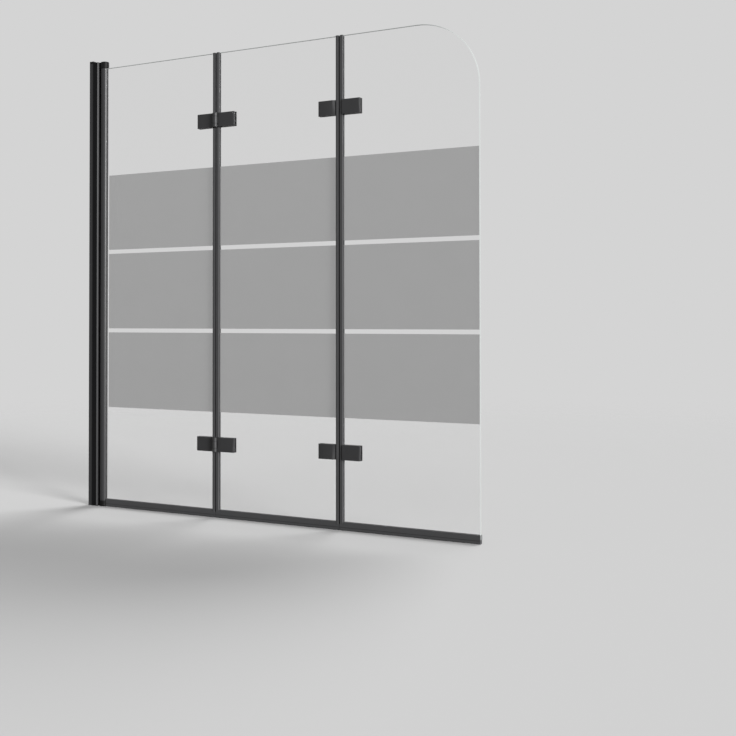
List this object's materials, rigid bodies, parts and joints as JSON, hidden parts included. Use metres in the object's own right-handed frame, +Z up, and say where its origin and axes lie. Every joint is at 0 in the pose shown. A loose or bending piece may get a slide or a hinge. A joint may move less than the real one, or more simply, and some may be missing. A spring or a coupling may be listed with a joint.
{
  "type": "folding bath screen",
  "caption": "Folding glass bath screen: wall profile, pivoting first panel, further panels on knuckle hinges, edge seals and satin bands.",
  "frame": {"origin": "on the wall plane, in the middle plane of the glass, level with the bath rim under the wall profile", "axes": "+X along the flat screen away from the wall, +Y into the bath, +Z up"},
  "size_m": [1.3, 0.0388, 1.4],
  "materials": {
    "profile": "satin black powder coat on extruded aluminium",
    "hinge": "matte black coat on cast zinc",
    "glass": "clear toughened glass with satin bands and polished edges",
    "seal": "black extruded soft PVC",
    "rubber": "matte black",
    "plastic": "fine moulded black",
    "steel": "turned"
  },
  "bodies": {
    "wall_frame": {"wall_profile": "profile", "wall_profile_cap": "plastic", "adjustment_profile": "profile", "adjustment_screws": "steel", "screw_covers": "plastic", "wiper_seal": "rubber", "pivot_cap_top": "plastic", "pivot_cap_bottom": "plastic", "pivot_pins": "steel"},
    "panel_1": {"pivot_profile": "profile", "pivot_bush_top": "plastic", "pivot_bush_bottom": "plastic", "glazing_gaskets": "rubber", "glass_panel_1": "glass", "bottom_seal_1": "seal", "side_seal_1": "seal", "hinge_1_top_leaf_left": "hinge", "hinge_1_top_clamp_left": "hinge", "hinge_1_top_pin": "steel", "hinge_1_bottom_leaf_left": "hinge", "hinge_1_bottom_clamp_left": "hinge", "hinge_1_pads_left": "rubber", "hinge_1_screws_left": "steel", "hinge_1_washers": "plastic"},
    "panel_2": {"glass_panel_2": "glass", "bottom_seal_2": "seal", "side_seal_2_left": "seal", "side_seal_2_right": "seal", "hinge_1_top_leaf_right": "hinge", "hinge_1_top_clamp_right": "hinge", "hinge_1_bottom_leaf_right": "hinge", "hinge_1_bottom_clamp_right": "hinge", "hinge_1_bottom_pin": "steel", "hinge_1_pads_right": "rubber", "hinge_1_screws_right": "steel", "hinge_2_top_leaf_left": "hinge", "hinge_2_top_clamp_left": "hinge", "hinge_2_top_pin": "steel", "hinge_2_bottom_leaf_left": "hinge", "hinge_2_bottom_clamp_left": "hinge", "hinge_2_pads_left": "rubber", "hinge_2_screws_left": "steel", "hinge_2_washers": "plastic"},
    "panel_3": {"glass_panel_3": "glass", "bottom_seal_3": "seal", "side_seal_3": "seal", "hinge_2_top_leaf_right": "hinge", "hinge_2_top_clamp_right": "hinge", "hinge_2_bottom_leaf_right": "hinge", "hinge_2_bottom_clamp_right": "hinge", "hinge_2_bottom_pin": "steel", "hinge_2_pads_right": "rubber", "hinge_2_screws_right": "steel"}
  },
  "joints": [
    {"name": "swing", "type": "hinge", "parent": "wall_frame", "child": "panel_1", "pos_m": [0.0525, 0, 0], "axis": [0, 0, 1], "range_deg": [0, 90]},
    {"name": "fold_1", "type": "hinge", "parent": "panel_1", "child": "panel_2", "pos_m": [0.4775, -0.0116, 0], "axis": [0, 0, -1], "range_deg": [0, 180]},
    {"name": "fold_2", "type": "hinge", "parent": "panel_2", "child": "panel_3", "pos_m": [0.889, 0.0116, 0], "axis": [0, 0, 1], "range_deg": [0, 180]}
  ]
}
